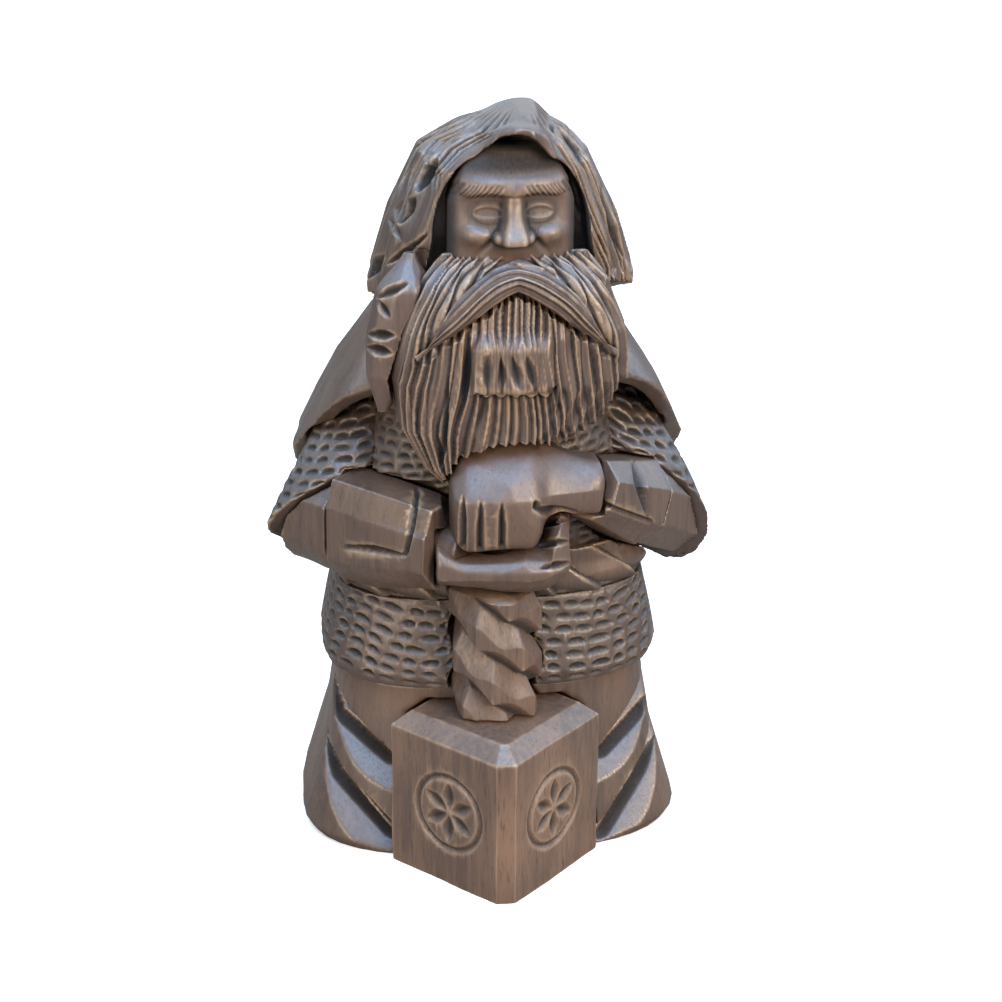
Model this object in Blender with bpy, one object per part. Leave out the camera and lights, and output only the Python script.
"""A hooded, bearded guardian leaning on a war hammer, 80 mm tall, as a carving made in separate pieces.

Metres, +Z up. The figure faces -Y, and the origin is on the ground in the middle of its bounding box.
Right and left are the figure's own, so its right arm is at -X. Every piece is a closed solid. Pieces seat
on each other with pegs, tenons and pockets, and GAP is the glue line left between them.
"""

import math
from collections import namedtuple

import bmesh
import bpy
from mathutils import Matrix, Vector

MM = 0.001

# Outline of a level section: half its width, and its reach forwards and back from the line it is widest on.
Outline = namedtuple("Outline", "half_width front back")
NO_GROOVE = Outline(0.0, 0.0, 0.0)
# Section of a limb: half its size across and upright.
Girth = namedtuple("Girth", "across upright")

# Fits
GAP = 0.3 * MM
PEG_CLEARANCE = 0.15 * MM
PEG_ROOT = 1.0 * MM
SHARP_ANGLE = math.radians(28)

# Heights of the body's storeys, from the ground up
ROBE_HEIGHT = 20.0 * MM
SKIRT_HEIGHT = 10.0 * MM
TUNIC_HEIGHT = 29.0 * MM
HOOD_HEIGHT = 21.0 * MM
HEM_Z = ROBE_HEIGHT
WAIST_Z = HEM_Z + SKIRT_HEIGHT
NECK_Z = WAIST_Z + TUNIC_HEIGHT
# The hood rests on tunic and cape at the collar, a plane that rises to the front
COLLAR_SLOPE = math.radians(20)
COLLAR_REACH = 8.0 * MM

# Body sections
BODY_SIDES = 40
BODY_POWER = 2.5
BODY_Y = -4.0 * MM
ROBE_SOLE = Outline(20.0 * MM, 11.2 * MM, 28.4 * MM)
ROBE_FOOT = Outline(20.8 * MM, 11.8 * MM, 29.0 * MM)
ROBE_FOOT_Z = 1.2 * MM
ROBE_KNEE = Outline(17.9 * MM, 10.4 * MM, 26.2 * MM)
ROBE_KNEE_Z = 11.0 * MM
ROBE_TOP = Outline(16.5 * MM, 9.6 * MM, 24.0 * MM)
SKIRT_HEM = Outline(17.6 * MM, 10.8 * MM, 24.8 * MM)
SKIRT_FLARE = Outline(18.2 * MM, 11.2 * MM, 25.2 * MM)
SKIRT_FLARE_Z = 1.6 * MM
SKIRT_TOP = Outline(16.6 * MM, 9.4 * MM, 23.0 * MM)
SASH_HEIGHT = 4.6 * MM
SASH_LOW = Outline(16.9 * MM, 10.0 * MM, 22.6 * MM)
SASH_HIGH = Outline(15.8 * MM, 9.4 * MM, 21.6 * MM)
SASH_ROLL = 0.5 * MM
TUNIC_WAIST = Outline(14.4 * MM, 7.8 * MM, 20.2 * MM)
TUNIC_CHEST = Outline(14.4 * MM, 8.6 * MM, 20.4 * MM)
TUNIC_CHEST_Z = 12.0 * MM
TUNIC_NECK = Outline(8.0 * MM, 5.0 * MM, 13.0 * MM)
BODY_PEG_RADIUS = 5.0 * MM
BODY_PEG_HEIGHT = 4.0 * MM
BODY_PEG_Y = 6.0 * MM

# Robe folds: V cuts that slant down towards the hammer, and upright ones round the back
FOLD_DEPTH = 2.6 * MM
FOLD_LIP = 1.6 * MM
FOLD_SILL = 3.4 * MM
FOLD_PROUD = 1.5 * MM
FOLD_FACING = (0.62, -0.78, 0.0)
UPPER_FOLD_START = (18.6 * MM, -5.5 * MM, 17.6 * MM)
UPPER_FOLD_END = (9.0 * MM, -15.5 * MM, 8.2 * MM)
LOWER_FOLD_START = (20.2 * MM, -6.0 * MM, 12.0 * MM)
LOWER_FOLD_END = (9.5 * MM, -17.0 * MM, -0.6 * MM)
BACK_FOLD_COUNT = 5
BACK_FOLD_SPREAD = math.radians(116)
BACK_FOLD_DEPTH = 1.8 * MM
BACK_FOLD_WIDTH = 4.4 * MM
BACK_FOLD_TAPER = 0.45

# War hammer: a square block standing on end with one corner to the front, and a three-lobed twisted haft
HAMMER_SIDE = 15.8 * MM
HAMMER_HEIGHT = 18.0 * MM
HAMMER_X = -0.4 * MM
HAMMER_Y = -14.83 * MM
HAMMER_EDGE = 1.4 * MM
HAMMER_CHAMFER = 1.6 * MM
HAFT_RADIUS = 4.4 * MM
HAFT_LOBE = 0.5 * MM
HAFT_LOBES = 3
HAFT_PITCH = 15.5 * MM
HAFT_SIDES = 18
HAFT_RINGS = 13
HAFT_TENON_RADIUS = 2.8 * MM
HAFT_TENON_DEPTH = 9.0 * MM
GRIP_TENON_RADIUS = 2.3 * MM
GRIP_TENON_HEIGHT = 10.5 * MM
ROUND_SIDES = 24

# Hands on the haft: the right fist below, the left hand laid over it, as upright sections along X
HAND_SIDES = 12
HAND_POWER = 3.2
HAND_SOFTNESS = 1.2 * MM
HAND_Y = HAMMER_Y - 1.4 * MM
RIGHT_HAND_Z = WAIST_Z + 2.2 * MM
RIGHT_HAND_HEIGHT = 5.9 * MM
RIGHT_HAND_WRIST_X = HAMMER_X - 5.1 * MM
RIGHT_HAND_END_X = HAMMER_X + 7.4 * MM
RIGHT_HAND_FRONT = 4.0 * MM
RIGHT_HAND_BACK = 4.6 * MM
FINGER_TIP_HEIGHT = 2.9 * MM
FINGER_TIP_WIDTH = 2.3 * MM
LEFT_HAND_Z = RIGHT_HAND_Z + RIGHT_HAND_HEIGHT + GAP
LEFT_HAND_HEIGHT = 9.8 * MM
LEFT_HAND_WRIST_X = HAMMER_X + 4.7 * MM
LEFT_HAND_END_X = HAMMER_X - 4.9 * MM
LEFT_HAND_FRONT = 4.2 * MM
LEFT_HAND_BACK = 4.0 * MM

# Arms, as straight axes between joints
SHOULDER_Z = NECK_Z - 8.0 * MM
RIGHT_SHOULDER = Vector((-9.4 * MM, 2.0 * MM, SHOULDER_Z))
RIGHT_ELBOW = Vector((-16.7 * MM, -5.8 * MM, WAIST_Z + 7.8 * MM))
RIGHT_WRIST = Vector((RIGHT_HAND_WRIST_X, HAND_Y + 0.6 * MM, RIGHT_HAND_Z + 5.0 * MM))
LEFT_SHOULDER = Vector((10.2 * MM, 2.0 * MM, SHOULDER_Z))
LEFT_ELBOW = Vector((16.9 * MM, -5.8 * MM, WAIST_Z + 6.6 * MM))
LEFT_WRIST = Vector((LEFT_HAND_WRIST_X + 4.7 * MM, HAND_Y + 1.6 * MM, LEFT_HAND_Z + 4.0 * MM))
SHOULDER_GIRTH = Girth(4.0 * MM, 3.6 * MM)
UPPER_ARM_GIRTH = Girth(4.8 * MM, 4.6 * MM)
SLEEVE_END_GIRTH = Girth(5.2 * MM, 5.0 * MM)
SLEEVE_SIDES = 16
SLEEVE_POWER = 2.6
SLEEVE_OVERRUN = 7.0 * MM
LEFT_HAND_SLOPE = 3.6 * MM
WRIST_FRONT = 1.8 * MM
FOREARM_GIRTH = Girth(4.7 * MM, 4.8 * MM)
RIGHT_BRACER_GIRTH = Girth(4.9 * MM, 5.4 * MM)
RIGHT_CUFF_GIRTH = Girth(4.4 * MM, 5.0 * MM)
LEFT_BRACER_GIRTH = Girth(4.7 * MM, 5.0 * MM)
LEFT_CUFF_GIRTH = Girth(3.7 * MM, 3.4 * MM)
RIGHT_BRACER_LENGTH = 12.2 * MM
LEFT_BRACER_LENGTH = 9.6 * MM
LIMB_SIDES = 8
SPIGOT_RADIUS = 1.9 * MM
SPIGOT_REACH = 2.2 * MM
SPIGOT_ROOT = 1.0 * MM
ELBOW_PEG_RADIUS = 2.2 * MM
ELBOW_PEG_LENGTH = 3.5 * MM
SHOULDER_PEG_PLACE = 0.45
SHOULDER_PEG_RADIUS = 1.8 * MM
SHOULDER_PEG_LENGTH = 3.0 * MM

# Head
HEAD_X = 1.3 * MM
HOOD_SIDES = 36
HOOD_POWER = 2.2
HOOD_Y = -3.0 * MM
HOOD_HEM = Outline(13.6 * MM, 9.0 * MM, 15.4 * MM)
HOOD_BROAD = Outline(13.9 * MM, 11.4 * MM, 16.0 * MM)
HOOD_BROAD_Z = 2.8 * MM
HOOD_TEMPLE = Outline(11.9 * MM, 13.4 * MM, 15.0 * MM)
HOOD_TEMPLE_Z = 9.2 * MM
HOOD_CROWN = Outline(8.7 * MM, 13.6 * MM, 11.0 * MM)
HOOD_CROWN_Z = 16.0 * MM
HOOD_PEAK = Outline(4.2 * MM, 12.8 * MM, 4.0 * MM)
HOOD_PEAK_Z = 19.8 * MM
HOOD_TIP = Outline(1.0 * MM, 9.5 * MM, 0.5 * MM)
HOOD_TIP_X = 2.0 * MM
HOOD_GROOVE = Outline(0.7 * MM, 0.7 * MM, 0.7 * MM)
HOOD_PEAK_GROOVE = Outline(0.3 * MM, 0.3 * MM, 0.3 * MM)
OPENING_HALF_WIDTH = 7.8 * MM
OPENING_FOOT_HALF_WIDTH = 9.4 * MM
OPENING_SPRING_Z = 9.4 * MM
OPENING_APEX_Z = 19.0 * MM
OPENING_BACK_Y = -9.0 * MM
ARCH_SIDES = 16
FACE_HALF_WIDTH = 6.2 * MM
FACE_FRONT_Y = -14.4 * MM
FACE_CHIN_HALF_WIDTH = 5.0 * MM
FACE_CHIN_Z = 1.5 * MM
FACE_CHEEK_Z = 6.0 * MM
FACE_TEMPLE_Z = 13.0 * MM
FACE_TOP_Z = 17.0 * MM
FACE_TOP_HALF_WIDTH = 3.6 * MM
FACE_ROUNDING = 0.8
FACE_SIDES = 16
FACE_POWER = 2.6
NOSE_LENGTH = 5.6 * MM
NOSE_HALF_WIDTH = 2.1 * MM
NOSE_REACH = 3.4 * MM
NOSE_BRIDGE_WIDTH = 0.5
NOSE_BRIDGE_REACH = 0.3
NOSE_TOP_Z = 14.6 * MM
BROW_HEIGHT = 1.8 * MM
BROW_REACH = 1.0 * MM
BROW_HALF_WIDTH = 5.4 * MM
BROW_SWEEP = 0.6
BROW_SLOPE = 1.0 * MM
FACE_PEG_Z = 9.0 * MM
FACE_PEG_RADIUS = 2.4 * MM
FACE_PEG_LENGTH = 4.0 * MM
NECK_PEG_RADIUS = 4.0 * MM
NECK_PEG_HEIGHT = 6.0 * MM
NECK_PEG_Y = 2.0 * MM

# Beard, moustache and side lock. A beard section's height is from the neck, its middle from the head's.
BeardRow = namedtuple("BeardRow", "height middle half_width front back")
BEARD_ROWS = (
    BeardRow(-16.4 * MM, -4.2 * MM, 2.2 * MM, 3.4 * MM, 4.4 * MM),
    BeardRow(-13.6 * MM, -3.2 * MM, 6.2 * MM, 4.4 * MM, 4.4 * MM),
    BeardRow(-9.4 * MM, -1.4 * MM, 10.2 * MM, 5.4 * MM, 4.4 * MM),
    BeardRow(-4.4 * MM, -0.2 * MM, 12.0 * MM, 6.0 * MM, 4.4 * MM),
    BeardRow(0.6 * MM, 0.2 * MM, 11.2 * MM, 6.0 * MM, 2.4 * MM),
    BeardRow(5.6 * MM, 0.2 * MM, 9.2 * MM, 4.8 * MM, 1.0 * MM),
    BeardRow(8.0 * MM, 0.3 * MM, 7.2 * MM, 3.2 * MM, 0.8 * MM),
)
BEARD_Y = -13.4 * MM
BEARD_SIDES = 48
BEARD_GROOVE = Outline(0.0, 0.7 * MM, 0.0)
BEARD_POWER = 2.3
BEARD_PEG_RADIUS = 2.0 * MM
BEARD_PEG_LENGTH = 7.0 * MM
BEARD_PEG_Z = -5.0 * MM
TUFT_FOOT_Z = -4.0 * MM
TUFT_HALF_WIDTH = 3.8 * MM
BELOW_TUFT_Y = -18.0 * MM
MOUSTACHE_HALF_SPAN = 10.0 * MM
MOUSTACHE_DROP = 8.6 * MM
MOUSTACHE_CURVE = 1.5
MOUSTACHE_Z = 7.0 * MM
MOUSTACHE_PROUD = 0.3 * MM
MOUSTACHE_GIRTH = Girth(1.6 * MM, 1.7 * MM)
MOUSTACHE_TIP = 0.28
MOUSTACHE_RINGS = 13
MOUSTACHE_SIDES = 10
LOCK_RADII = (1.7 * MM, 2.2 * MM, 2.3 * MM, 1.8 * MM, 0.4 * MM)
LOCK_TOP_Z = 8.0 * MM
LOCK_LENGTH = 16.2 * MM
LOCK_Y = -12.8 * MM
LOCK_TOP_X = -10.0 * MM
LOCK_FOOT_X = -12.9 * MM
LOCK_SIDES = 10

# Cape: a shell over the shoulders whose hem drops towards the back
CAPE_X = 0.6 * MM
CAPE_SIDES = 48
CAPE_POWER = 2.9
CAPE_NECK = Outline(11.6 * MM, 8.0 * MM, 14.6 * MM)
CAPE_SHOULDER = Outline(16.8 * MM, 11.0 * MM, 19.6 * MM)
CAPE_SHOULDER_DROP = 7.6 * MM
CAPE_ELBOW = Outline(21.2 * MM, 12.6 * MM, 23.4 * MM)
CAPE_ELBOW_DROP = 16.6 * MM
CAPE_FOOT = Outline(21.6 * MM, 10.4 * MM, 27.0 * MM)
CAPE_FOOT_DROP = 36.0 * MM
CAPE_WALL = 2.0 * MM
CAPE_HEM_FRONT = Vector((0.0, -10.0 * MM, NECK_Z - 7.4 * MM))
CAPE_HEM_SLOPE = math.radians(42)
CAPE_FOLDS = 7
CAPE_FOLD_DEPTH = 0.9 * MM
CAPE_ELBOW_FOLD_DEPTH = 0.54 * MM
CAPE_SHOULDER_FOLD_DEPTH = 0.18 * MM

WOOD_COLOUR = (0.105, 0.066, 0.048, 1.0)
WOOD_ROUGHNESS = 0.46

UP = Vector((0.0, 0.0, 1.0))
BACK = Vector((0.0, 1.0, 0.0))
COLLAR_POINT = Vector((0.0, 0.0, NECK_Z))
COLLAR_NORMAL = Vector((0.0, math.sin(COLLAR_SLOPE), math.cos(COLLAR_SLOPE)))


def clear_scene():
    for obj in list(bpy.data.objects):
        bpy.data.objects.remove(obj, do_unlink=True)


def new_collection(name):
    collection = bpy.data.collections.new(name)
    bpy.context.scene.collection.children.link(collection)
    return collection


clear_scene()
PIECES = new_collection("hooded_guardian")
CUTTERS = new_collection("cutters")


def wood(name):
    """Dark stained wood, one material for each piece."""
    material = bpy.data.materials.new(name + "_wood")
    material.use_nodes = True
    shader = material.node_tree.nodes["Principled BSDF"]
    shader.inputs["Base Color"].default_value = WOOD_COLOUR
    shader.inputs["Roughness"].default_value = WOOD_ROUGHNESS
    shader.inputs["Metallic"].default_value = 0.0
    return material


def to_object(name, shape, collection):
    """An object holding the bmesh, which is freed."""
    bmesh.ops.recalc_face_normals(shape, faces=shape.faces)
    if shape.calc_volume(signed=True) < 0:
        bmesh.ops.reverse_faces(shape, faces=shape.faces)
    mesh = bpy.data.meshes.new(name)
    shape.to_mesh(mesh)
    shape.free()
    obj = bpy.data.objects.new(name, mesh)
    collection.objects.link(obj)
    return obj


def piece(name, shape):
    """A visible piece of the figure, shaded smooth between its carved edges."""
    obj = to_object(name, shape, PIECES)
    obj.data.materials.append(wood(name))
    obj.data.shade_smooth()
    obj.data.set_sharp_from_angle(angle=SHARP_ANGLE)
    return obj


def cutter(name, shape):
    """A helper that other pieces are cut or joined with."""
    obj = to_object(name, shape, CUTTERS)
    obj.hide_render = True
    obj.display_type = "WIRE"
    return obj


def boolean(obj, other, operation):
    modifier = obj.modifiers.new(operation.lower() + "_" + other.name, "BOOLEAN")
    modifier.operation = operation
    modifier.solver = "EXACT"
    modifier.object = other


def grown(obj, amount=GAP):
    """A cutter of the object's own shape, larger by the amount all round."""
    shape = bmesh.new()
    shape.from_mesh(obj.data)
    shape.normal_update()
    moves = [vert.normal * vert.calc_shell_factor() * amount for vert in shape.verts]
    for vert, move in zip(shape.verts, moves):
        vert.co += move
    return cutter(obj.name + "_room", shape)


def loft(rings):
    """A capped skin through rings of equally many points."""
    shape = bmesh.new()
    loops = [[shape.verts.new(point) for point in ring] for ring in rings]
    for low, high in zip(loops, loops[1:]):
        for i in range(len(low)):
            j = (i + 1) % len(low)
            shape.faces.new((low[i], low[j], high[j], high[i]))
    shape.faces.new(reversed(loops[0]))
    shape.faces.new(loops[-1])
    return shape


def trim(shape, point, normal):
    """Removes what lies on the normal's side of a plane, and closes the cut."""
    everything = shape.verts[:] + shape.edges[:] + shape.faces[:]
    cut = bmesh.ops.bisect_plane(shape, geom=everything, plane_co=point, plane_no=normal, clear_outer=True)
    edges = [item for item in cut["geom_cut"] if isinstance(item, bmesh.types.BMEdge)]
    bmesh.ops.contextual_create(shape, geom=edges)
    return shape


def rounded(angle, power):
    """A point of the unit superellipse."""
    across = math.copysign(abs(math.cos(angle)) ** (2 / power), math.cos(angle))
    along = math.copysign(abs(math.sin(angle)) ** (2 / power), math.sin(angle))
    return across, along


def level_ring(z, outline, x, y, power, sides, groove=NO_GROOVE):
    """A level section, with its widest line at y. Every other point lies deeper by the groove."""
    points = []
    inner = Outline(*(size - depth for size, depth in zip(outline, groove)))
    for i in range(sides):
        across, along = rounded(math.tau * i / sides, power)
        here = inner if i % 2 else outline
        reach = here.back if along > 0 else here.front
        points.append(Vector((x + here.half_width * across, y + reach * along, z)))
    return points


def body_ring(z, outline):
    return level_ring(z, outline, 0.0, BODY_Y, BODY_POWER, BODY_SIDES)


def limb_ring(centre, axis, girth, sides, power=2.0):
    """A section square to a limb's axis, with a flat uppermost where the sides are few."""
    side = axis.cross(UP).normalized()
    top = side.cross(axis).normalized()
    points = []
    for i in range(sides):
        across, along = rounded(math.tau * (i + 0.5) / sides, power)
        points.append(centre + side * girth.across * across + top * girth.upright * along)
    return points


def rod(start, end, radius, sides=ROUND_SIDES):
    """A round rod between two points."""
    axis = end - start
    shape = bmesh.new()
    bmesh.ops.create_cone(
        shape, cap_ends=True, segments=sides, radius1=radius, radius2=radius, depth=axis.length
    )
    turn = UP.rotation_difference(axis).to_matrix().to_4x4()
    shape.transform(Matrix.Translation((start + end) / 2) @ turn)
    return shape


def join_with_peg(owner, host, start, end, radius):
    """A peg of the owner's from start to end, and the socket that takes it in the host."""
    name = owner.name + "_to_" + host.name
    boolean(owner, cutter(name + "_peg", rod(start, end, radius)), "UNION")
    socket_end = end + (end - start).normalized() * GAP
    boolean(host, cutter(name + "_socket", rod(start, socket_end, radius + PEG_CLEARANCE)), "DIFFERENCE")


def give_way(obj, *neighbours):
    """Cuts room for its neighbours into a piece."""
    for neighbour in neighbours:
        boolean(obj, neighbour, "DIFFERENCE")


def fold_cutter(name, start, end, outwards):
    """A wedge along a slanting fold: a steep upper face and a broad sill below."""
    run = (end - start).normalized()
    rise = outwards.cross(run).normalized()
    if rise.z < 0:
        rise.negate()
    rings = []
    for point in (start, end):
        root = point - outwards * FOLD_DEPTH
        lip = point + outwards * FOLD_PROUD + rise * FOLD_LIP
        sill = point + outwards * FOLD_PROUD - rise * FOLD_SILL
        rings.append((root, lip, sill))
    return cutter(name, loft(rings))


def make_robe():
    shape = loft(
        [
            body_ring(0.0, ROBE_SOLE),
            body_ring(ROBE_FOOT_Z, ROBE_FOOT),
            body_ring(ROBE_KNEE_Z, ROBE_KNEE),
            body_ring(ROBE_HEIGHT - GAP, ROBE_TOP),
        ]
    )
    robe = piece("robe", shape)
    for side in (-1, 1):
        mirror = Vector((side, 1, 1))
        outwards = (Vector(FOLD_FACING) * mirror).normalized()
        for level, start, end in (
            ("upper", UPPER_FOLD_START, UPPER_FOLD_END),
            ("lower", LOWER_FOLD_START, LOWER_FOLD_END),
        ):
            hand = "right" if side < 0 else "left"
            fold = fold_cutter(
                f"{hand}_{level}_fold", Vector(start) * mirror, Vector(end) * mirror, outwards
            )
            boolean(robe, fold, "DIFFERENCE")
    for i in range(BACK_FOLD_COUNT):
        turn = BACK_FOLD_SPREAD * (i / (BACK_FOLD_COUNT - 1) - 0.5)
        boolean(robe, back_fold(i, math.pi / 2 + turn), "DIFFERENCE")
    return robe


def back_fold(index, angle):
    """An upright V cut in the robe's back, widest at the ground and closing upwards."""
    across, along = rounded(angle, BODY_POWER)
    outwards = Vector((math.cos(angle), math.sin(angle), 0.0))
    beside = outwards.cross(UP)
    rings = []
    for z, outline, share in ((-GAP, ROBE_FOOT, 1.0), (ROBE_HEIGHT, ROBE_TOP, BACK_FOLD_TAPER)):
        face = Vector((outline.half_width * across, BODY_Y + outline.back * along, z))
        half = beside * BACK_FOLD_WIDTH * share / 2
        outer = face + outwards * FOLD_PROUD
        rings.append((face - outwards * BACK_FOLD_DEPTH * share, outer - half, outer + half))
    return cutter(f"back_fold_{index + 1}", loft(rings))


def make_skirt():
    shape = loft(
        [
            body_ring(HEM_Z, SKIRT_HEM),
            body_ring(HEM_Z + SKIRT_FLARE_Z, SKIRT_FLARE),
            body_ring(WAIST_Z - GAP, SKIRT_TOP),
        ]
    )
    return piece("mail_skirt", shape)


def make_sash():
    shape = loft(
        [
            body_ring(WAIST_Z, SASH_LOW._replace(half_width=SASH_LOW.half_width - SASH_ROLL)),
            body_ring(WAIST_Z + SASH_HEIGHT / 3, SASH_LOW),
            body_ring(WAIST_Z + SASH_HEIGHT * 2 / 3, SASH_HIGH),
            body_ring(WAIST_Z + SASH_HEIGHT, SASH_HIGH._replace(half_width=SASH_HIGH.half_width - SASH_ROLL)),
        ]
    )
    return piece("waist_sash", shape)


def below_collar(shape):
    return trim(shape, COLLAR_POINT - COLLAR_NORMAL * GAP / 2, COLLAR_NORMAL)


def above_collar(shape):
    return trim(shape, COLLAR_POINT + COLLAR_NORMAL * GAP / 2, -COLLAR_NORMAL)


def make_tunic():
    shape = loft(
        [
            body_ring(WAIST_Z, TUNIC_WAIST),
            body_ring(WAIST_Z + TUNIC_CHEST_Z, TUNIC_CHEST),
            body_ring(NECK_Z, TUNIC_NECK),
            body_ring(NECK_Z + COLLAR_REACH, TUNIC_NECK),
        ]
    )
    return piece("mail_tunic", below_collar(shape))


def mitre(shoulder, elbow, wrist):
    """The plane between upper arm and forearm: a normal from the one to the other."""
    return ((elbow - shoulder).normalized() + (wrist - elbow).normalized()).normalized()


def make_sleeve(name, shoulder, elbow, wrist):
    axis = (elbow - shoulder).normalized()
    end = elbow + axis * SLEEVE_OVERRUN
    rings = [
        limb_ring(shoulder, axis, SHOULDER_GIRTH, SLEEVE_SIDES, SLEEVE_POWER),
        limb_ring(shoulder.lerp(elbow, 0.5), axis, UPPER_ARM_GIRTH, SLEEVE_SIDES, SLEEVE_POWER),
        limb_ring(elbow, axis, SLEEVE_END_GIRTH, SLEEVE_SIDES, SLEEVE_POWER),
        limb_ring(end, axis, SLEEVE_END_GIRTH, SLEEVE_SIDES, SLEEVE_POWER),
    ]
    return piece(name, trim(loft(rings), elbow, mitre(shoulder, elbow, wrist)))


def make_forearm(name, shoulder, elbow, wrist, bracer_length):
    """The under-sleeve from the elbow's mitre to the bracer."""
    axis = (wrist - elbow).normalized()
    start = elbow - axis * SLEEVE_OVERRUN
    end = wrist - axis * (bracer_length + GAP)
    rings = [limb_ring(point, axis, FOREARM_GIRTH, LIMB_SIDES) for point in (start, end)]
    normal = mitre(shoulder, elbow, wrist)
    return piece(name, trim(loft(rings), elbow + normal * GAP, -normal))


def make_bracer(name, elbow, wrist, length, girth, cuff):
    axis = (wrist - elbow).normalized()
    rings = [
        limb_ring(wrist - axis * length, axis, girth, LIMB_SIDES),
        limb_ring(wrist, axis, cuff, LIMB_SIDES),
    ]
    return piece(name, loft(rings))


def hand_ring(x, bottom, top, front, back):
    """An upright section of a hand, square to X."""
    points = []
    for i in range(HAND_SIDES):
        across, along = rounded(math.tau * (i + 0.5) / HAND_SIDES, HAND_POWER)
        reach = back if across > 0 else front
        z = (bottom + top) / 2 + (top - bottom) / 2 * along
        points.append(Vector((x, HAND_Y + reach * across, z)))
    return points


def make_left_hand():
    """Fingers down over the front of the other fist, with the wrist at +X."""
    soft = HAND_SOFTNESS
    low, high = LEFT_HAND_END_X, LEFT_HAND_WRIST_X
    bottom, top = LEFT_HAND_Z, LEFT_HAND_Z + LEFT_HAND_HEIGHT
    front, back = LEFT_HAND_FRONT, LEFT_HAND_BACK
    wrist_low = LEFT_WRIST.z - LEFT_CUFF_GIRTH.upright
    wrist_high = LEFT_WRIST.z + LEFT_CUFF_GIRTH.upright
    rings = [
        hand_ring(low, bottom + soft, top - LEFT_HAND_SLOPE, front - soft, back - soft),
        hand_ring(low + soft, bottom, top - soft, front, back),
        hand_ring((low + high) / 2, bottom, top, front, back),
        hand_ring(high - soft, bottom, top, front, back),
        hand_ring(high, bottom + 2 * soft, top, front - soft, back),
        hand_ring(LEFT_WRIST.x + soft, wrist_low + soft, wrist_high + soft, WRIST_FRONT, back + soft),
    ]
    return piece("left_hand", loft(rings))


def make_right_hand():
    """A fist round the haft, with the wrist at -X and the finger tips standing up at +X."""
    soft = HAND_SOFTNESS
    low, high = RIGHT_HAND_WRIST_X, RIGHT_HAND_END_X
    bottom, top = RIGHT_HAND_Z, RIGHT_HAND_Z + RIGHT_HAND_HEIGHT
    front, back = RIGHT_HAND_FRONT, RIGHT_HAND_BACK
    tips_x, tips_top = high - FINGER_TIP_WIDTH, top + FINGER_TIP_HEIGHT
    rings = [
        hand_ring(low - soft, bottom + soft, top + soft, front - soft, back),
        hand_ring(low + soft, bottom + soft / 2, top, front - soft / 2, back),
        hand_ring((low + high) / 2, bottom, top, front, back),
        hand_ring(tips_x - GAP, bottom, top, front, back),
        hand_ring(tips_x, bottom, tips_top - soft, front, back),
        hand_ring(high - soft, bottom + soft / 2, tips_top, front - soft / 2, back),
        hand_ring(high, bottom + 2 * soft, tips_top - soft, front - 2 * soft, back - soft),
    ]
    return piece("right_hand", loft(rings))


def make_hammer_head():
    shape = bmesh.new()
    bmesh.ops.create_cube(shape, size=1.0)
    size = Matrix.Diagonal((HAMMER_SIDE, HAMMER_SIDE, HAMMER_HEIGHT, 1.0))
    place = Matrix.Translation((HAMMER_X, HAMMER_Y, HAMMER_HEIGHT / 2))
    shape.transform(place @ Matrix.Rotation(math.pi / 4, 4, "Z") @ size)
    upright = [edge for edge in shape.edges if abs(edge.verts[0].co.z - edge.verts[1].co.z) > GAP]
    front = min(upright, key=lambda edge: edge.verts[0].co.y)
    bmesh.ops.bevel(shape, geom=[front], offset=HAMMER_EDGE, segments=1, affect="EDGES")
    top = [edge for edge in shape.edges if all(vert.co.z > HAMMER_HEIGHT - GAP for vert in edge.verts)]
    bmesh.ops.bevel(shape, geom=top, offset=HAMMER_CHAMFER, segments=1, affect="EDGES")
    return piece("hammer_head", shape)


def make_haft():
    """A rope-like handle: a lobed section that turns as it rises."""
    low = HAMMER_HEIGHT + GAP
    high = RIGHT_HAND_Z - GAP
    rings = []
    for k in range(HAFT_RINGS):
        z = low + (high - low) * k / (HAFT_RINGS - 1)
        twist = -math.tau * (z - low) / HAFT_PITCH
        ring = []
        for i in range(HAFT_SIDES):
            angle = math.tau * i / HAFT_SIDES
            radius = HAFT_RADIUS + HAFT_LOBE * math.cos(HAFT_LOBES * angle)
            turned = angle + twist
            ring.append(
                Vector((HAMMER_X + radius * math.cos(turned), HAMMER_Y + radius * math.sin(turned), z))
            )
        rings.append(ring)
    shape = loft(rings)
    bmesh.ops.triangulate(shape, faces=shape.faces)
    return piece("hammer_haft", shape)


def beard_row(height):
    """The beard's section at a height from the neck."""
    for low, high in zip(BEARD_ROWS, BEARD_ROWS[1:]):
        if height <= high.height:
            break
    share = (height - low.height) / (high.height - low.height)
    return BeardRow(*(a + (b - a) * share for a, b in zip(low, high)))


def make_beard():
    """A full beard that swells below the cheeks and draws in to the hands."""
    rings = [
        level_ring(
            NECK_Z + row.height,
            Outline(row.half_width, row.front, row.back),
            HEAD_X + row.middle,
            BEARD_Y,
            BEARD_POWER,
            BEARD_SIDES,
            BEARD_GROOVE,
        )
        for row in BEARD_ROWS
    ]
    beard = piece("beard", loft(rings))
    boolean(beard, cutter("below_tuft", below_tuft_shape()), "DIFFERENCE")
    return beard


def below_tuft_shape():
    """What is cut away between the chin tuft and the hands."""
    front = BEARD_Y - 2 * max(row.front for row in BEARD_ROWS)
    corners = ((-1, BELOW_TUFT_Y), (-1, front), (1, front), (1, BELOW_TUFT_Y))
    return loft(
        [
            [Vector((HEAD_X + side * TUFT_HALF_WIDTH, y, NECK_Z + z)) for side, y in corners]
            for z in (BEARD_ROWS[0].height, TUFT_FOOT_Z)
        ]
    )


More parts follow.
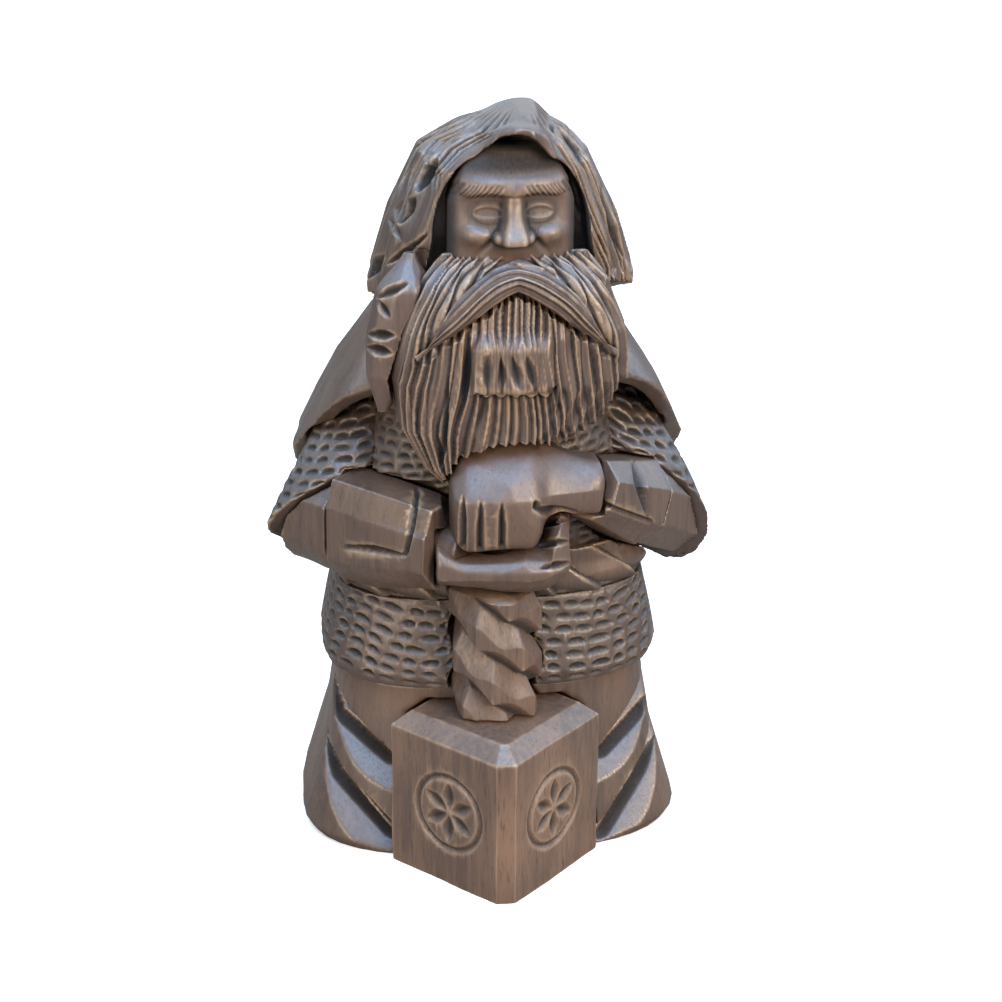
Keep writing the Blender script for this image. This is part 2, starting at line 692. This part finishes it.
def make_moustache():
    """A drooping arch laid on the front of the beard."""
    path = []
    for k in range(MOUSTACHE_RINGS):
        t = 2 * k / (MOUSTACHE_RINGS - 1) - 1
        x = MOUSTACHE_HALF_SPAN * t
        height = MOUSTACHE_Z - MOUSTACHE_DROP * abs(t) ** MOUSTACHE_CURVE
        row = beard_row(height)
        share = abs(x - row.middle) / row.half_width
        front = row.front * (1 - share**BEARD_POWER) ** (1 / BEARD_POWER)
        path.append(Vector((HEAD_X + x, BEARD_Y - front - MOUSTACHE_PROUD, NECK_Z + height)))
    rings = []
    for k, centre in enumerate(path):
        t = 2 * k / (MOUSTACHE_RINGS - 1) - 1
        axis = path[min(k + 1, MOUSTACHE_RINGS - 1)] - path[max(k - 1, 0)]
        size = 1.0 - (1.0 - MOUSTACHE_TIP) * t * t
        girth = Girth(MOUSTACHE_GIRTH.across * size, MOUSTACHE_GIRTH.upright * size)
        rings.append(limb_ring(centre, axis.normalized(), girth, MOUSTACHE_SIDES))
    return piece("moustache", loft(rings))


def make_lock():
    """The side lock from the temple down beside the beard."""
    rings = []
    for k, radius in enumerate(LOCK_RADII):
        share = k / (len(LOCK_RADII) - 1)
        x = HEAD_X + LOCK_TOP_X + (LOCK_FOOT_X - LOCK_TOP_X) * share
        z = NECK_Z + LOCK_TOP_Z - LOCK_LENGTH * share
        rings.append(level_ring(z, Outline(radius, radius, radius), x, LOCK_Y, 2.0, LOCK_SIDES))
    return piece("right_lock", loft(rings))


def make_face():
    """A plain block face, rounded at the chin and under the hood."""
    back = OPENING_BACK_Y - GAP
    middle = (FACE_FRONT_Y + back) / 2
    deep = (back - FACE_FRONT_Y) / 2
    rings = []
    for height, half_width, share in (
        (FACE_CHIN_Z, FACE_CHIN_HALF_WIDTH, FACE_ROUNDING),
        (FACE_CHEEK_Z, FACE_HALF_WIDTH, 1.0),
        (FACE_TEMPLE_Z, FACE_HALF_WIDTH, 1.0),
        (FACE_TOP_Z, FACE_TOP_HALF_WIDTH, FACE_ROUNDING),
    ):
        outline = Outline(half_width, deep * share, deep)
        rings.append(level_ring(NECK_Z + height, outline, HEAD_X, middle, FACE_POWER, FACE_SIDES))
    return piece("face", loft(rings))


def nose_shape():
    top = NECK_Z + NOSE_TOP_Z
    rings = []
    for z, half, reach in (
        (top, NOSE_HALF_WIDTH * NOSE_BRIDGE_WIDTH, NOSE_REACH * NOSE_BRIDGE_REACH),
        (top - NOSE_LENGTH, NOSE_HALF_WIDTH, NOSE_REACH),
    ):
        root = FACE_FRONT_Y + NOSE_REACH
        rings.append(
            (
                Vector((HEAD_X - half, root, z)),
                Vector((HEAD_X, FACE_FRONT_Y - reach, z)),
                Vector((HEAD_X + half, root, z)),
            )
        )
    return loft(rings)


def brow_shape():
    low = NECK_Z + NOSE_TOP_Z - BROW_HEIGHT / 2
    rings = []
    for t in (-1, 0, 1):
        x = HEAD_X + BROW_HALF_WIDTH * t
        root = FACE_FRONT_Y + NOSE_REACH
        front = FACE_FRONT_Y - BROW_REACH * (1 - BROW_SWEEP * t * t)
        rings.append(
            (
                Vector((x, root, low)),
                Vector((x, front, low)),
                Vector((x, front, low + BROW_HEIGHT - BROW_SLOPE)),
                Vector((x, root, low + BROW_HEIGHT + BROW_SLOPE)),
            )
        )
    return loft(rings)


def opening_shape():
    """An arch right through the hood's front."""
    rings = []
    for y in (OPENING_BACK_Y, HOOD_Y - HOOD_TEMPLE.front - HOOD_HEIGHT):
        ring = []
        for i in range(ARCH_SIDES + 1):
            angle = math.pi * i / ARCH_SIDES
            x = HEAD_X + OPENING_HALF_WIDTH * math.cos(angle)
            z = NECK_Z + OPENING_SPRING_Z + (OPENING_APEX_Z - OPENING_SPRING_Z) * math.sin(angle)
            ring.append(Vector((x, y, z)))
        ring.append(Vector((HEAD_X - OPENING_FOOT_HALF_WIDTH, y, NECK_Z)))
        ring.append(Vector((HEAD_X + OPENING_FOOT_HALF_WIDTH, y, NECK_Z)))
        rings.append(ring)
    return loft(rings)


def make_hood():
    rows = (
        (-COLLAR_REACH, HOOD_HEM, 0.0, HOOD_GROOVE),
        (HOOD_BROAD_Z, HOOD_BROAD, 0.0, HOOD_GROOVE),
        (HOOD_TEMPLE_Z, HOOD_TEMPLE, 0.0, HOOD_GROOVE),
        (HOOD_CROWN_Z, HOOD_CROWN, 0.0, HOOD_GROOVE),
        (HOOD_PEAK_Z, HOOD_PEAK, HOOD_TIP_X / 2, HOOD_PEAK_GROOVE),
        (HOOD_HEIGHT, HOOD_TIP, HOOD_TIP_X, NO_GROOVE),
    )
    rings = [
        level_ring(NECK_Z + z, outline, HEAD_X + x, HOOD_Y, HOOD_POWER, HOOD_SIDES, groove)
        for z, outline, x, groove in rows
    ]
    hood = piece("hood", above_collar(loft(rings)))
    boolean(hood, cutter("hood_opening", opening_shape()), "DIFFERENCE")
    return hood


def cape_ring(drop, outline, fold, shrink):
    """A section of the cape below the neck, with soft folds that deepen down its back."""
    points = []
    for i in range(CAPE_SIDES):
        angle = math.tau * i / CAPE_SIDES
        across, along = rounded(angle, CAPE_POWER)
        wave = fold * max(0.0, along) * math.cos(2 * CAPE_FOLDS * angle) - shrink
        reach = outline.back if along > 0 else outline.front
        x = (outline.half_width + wave) * across
        y = (reach + wave) * along
        points.append(Vector((CAPE_X + x, BODY_Y + y, NECK_Z - drop)))
    return points


def cape_shape(shrink):
    return loft(
        [
            cape_ring(CAPE_FOOT_DROP, CAPE_FOOT, CAPE_FOLD_DEPTH, shrink),
            cape_ring(CAPE_ELBOW_DROP, CAPE_ELBOW, CAPE_ELBOW_FOLD_DEPTH, shrink),
            cape_ring(CAPE_SHOULDER_DROP, CAPE_SHOULDER, CAPE_SHOULDER_FOLD_DEPTH, shrink),
            cape_ring(0.0, CAPE_NECK, 0.0, shrink),
            cape_ring(-COLLAR_REACH, CAPE_NECK, 0.0, shrink),
        ]
    )


def make_cape():
    hem = Vector((0.0, -math.sin(CAPE_HEM_SLOPE), -math.cos(CAPE_HEM_SLOPE)))
    cape = piece("cape", below_collar(trim(cape_shape(0.0), CAPE_HEM_FRONT, hem)))
    boolean(cape, cutter("cape_inside", cape_shape(CAPE_WALL)), "DIFFERENCE")
    return cape


def join_arm(shoulder, elbow, wrist, bracer_length, tunic, sleeve, forearm, bracer, hand):
    """Shoulder and elbow pegs, and the spigot that carries bracer and hand. Returns the hand's socket."""
    axis = (wrist - elbow).normalized()
    bite = axis * SPIGOT_REACH
    inwards = Vector((math.copysign(1.0, -elbow.x), 0.0, 0.0))
    upper = shoulder.lerp(elbow, SHOULDER_PEG_PLACE)
    shoulder_peg_end = upper + inwards * (UPPER_ARM_GIRTH.across + SHOULDER_PEG_LENGTH)
    join_with_peg(sleeve, tunic, upper, shoulder_peg_end, SHOULDER_PEG_RADIUS)
    join_with_peg(forearm, sleeve, elbow + bite, elbow - axis * ELBOW_PEG_LENGTH, ELBOW_PEG_RADIUS)
    spigot_start = wrist - axis * (bracer_length + SPIGOT_ROOT)
    join_with_peg(forearm, bracer, spigot_start, wrist + bite, SPIGOT_RADIUS)
    socket = cutter(hand.name + "_socket", rod(spigot_start, wrist + bite, SPIGOT_RADIUS + PEG_CLEARANCE))
    boolean(hand, socket, "DIFFERENCE")
    return socket


def build():
    hammer_head = make_hammer_head()
    haft = make_haft()
    left_hand = make_left_hand()
    right_hand = make_right_hand()
    right_arm = (RIGHT_SHOULDER, RIGHT_ELBOW, RIGHT_WRIST)
    left_arm = (LEFT_SHOULDER, LEFT_ELBOW, LEFT_WRIST)
    right_bracer = make_bracer(
        "right_bracer", RIGHT_ELBOW, RIGHT_WRIST, RIGHT_BRACER_LENGTH, RIGHT_BRACER_GIRTH, RIGHT_CUFF_GIRTH
    )
    left_bracer = make_bracer(
        "left_bracer", LEFT_ELBOW, LEFT_WRIST, LEFT_BRACER_LENGTH, LEFT_BRACER_GIRTH, LEFT_CUFF_GIRTH
    )
    right_forearm = make_forearm("right_forearm", *right_arm, RIGHT_BRACER_LENGTH)
    left_forearm = make_forearm("left_forearm", *left_arm, LEFT_BRACER_LENGTH)
    right_sleeve = make_sleeve("right_sleeve", *right_arm)
    left_sleeve = make_sleeve("left_sleeve", *left_arm)
    face = make_face()
    nose = cutter("nose", nose_shape())
    brow = cutter("brow", brow_shape())
    moustache = make_moustache()
    beard = make_beard()
    lock = make_lock()
    hood = make_hood()
    tunic = make_tunic()
    cape = make_cape()
    sash = make_sash()
    skirt = make_skirt()
    robe = make_robe()

    room = {obj.name: grown(obj) for obj in list(PIECES.objects)}
    hands = (room["left_hand"], room["right_hand"])
    bracers = (room["left_bracer"], room["right_bracer"])
    forearms = (room["left_forearm"], room["right_forearm"])
    sleeves = (room["left_sleeve"], room["right_sleeve"])
    give_way(left_hand, room["right_hand"])
    give_way(right_bracer, *hands)
    give_way(left_bracer, *hands)
    give_way(right_sleeve, room["right_bracer"], room["right_forearm"])
    give_way(left_sleeve, room["left_bracer"], room["left_forearm"])
    boolean(face, nose, "UNION")
    boolean(face, brow, "UNION")
    give_way(tunic, *bracers, *forearms, *sleeves, *hands, room["face"], room["hammer_haft"])
    give_way(beard, room["mail_tunic"], *hands, *bracers, room["face"], grown(nose), room["moustache"])
    give_way(lock, room["beard"])
    give_way(hood, room["beard"], room["right_lock"], room["face"], grown(brow))
    give_way(cape, room["mail_tunic"], *sleeves, room["beard"], room["right_lock"], room["face"])
    give_way(cape, room["mail_skirt"], room["waist_sash"])
    give_way(sash, room["mail_tunic"], *sleeves, *forearms, *bracers, *hands, room["hammer_haft"])
    give_way(skirt, room["hammer_haft"], room["hammer_head"])
    give_way(robe, room["hammer_head"], room["hammer_haft"])

    foot = Vector((HAMMER_X, HAMMER_Y, HAMMER_HEIGHT + GAP))
    join_with_peg(haft, hammer_head, foot + UP * PEG_ROOT, foot - UP * HAFT_TENON_DEPTH, HAFT_TENON_RADIUS)
    grip = Vector((HAMMER_X, HAMMER_Y, RIGHT_HAND_Z - GAP))
    grip_end = grip + UP * GRIP_TENON_HEIGHT
    join_with_peg(haft, right_hand, grip - UP * PEG_ROOT, grip_end, GRIP_TENON_RADIUS)
    bore = cutter("grip_bore", rod(grip, grip_end + UP * GAP, GRIP_TENON_RADIUS + PEG_CLEARANCE))
    for obj in (left_hand, tunic, sash):
        give_way(obj, bore)
    right_bore = join_arm(
        *right_arm, RIGHT_BRACER_LENGTH, tunic, right_sleeve, right_forearm, right_bracer, right_hand
    )
    give_way(left_hand, right_bore)
    join_arm(*left_arm, LEFT_BRACER_LENGTH, tunic, left_sleeve, left_forearm, left_bracer, left_hand)
    hem = Vector((0.0, BODY_PEG_Y, HEM_Z))
    join_with_peg(robe, skirt, hem - UP * PEG_ROOT, hem + UP * BODY_PEG_HEIGHT, BODY_PEG_RADIUS)
    waist = Vector((0.0, BODY_PEG_Y, WAIST_Z))
    join_with_peg(skirt, tunic, waist - UP * PEG_ROOT, waist + UP * BODY_PEG_HEIGHT, BODY_PEG_RADIUS)
    neck = Vector((HEAD_X, NECK_PEG_Y, NECK_Z))
    half_peg = UP * NECK_PEG_HEIGHT
    join_with_peg(tunic, hood, neck - half_peg, neck + half_peg, NECK_PEG_RADIUS)
    chin = Vector((HEAD_X, BEARD_Y, NECK_Z + BEARD_PEG_Z))
    join_with_peg(beard, tunic, chin, chin + BACK * BEARD_PEG_LENGTH, BEARD_PEG_RADIUS)
    nape = Vector((HEAD_X, OPENING_BACK_Y, NECK_Z + FACE_PEG_Z))
    join_with_peg(face, hood, nape - BACK * PEG_ROOT, nape + BACK * FACE_PEG_LENGTH, FACE_PEG_RADIUS)


build()
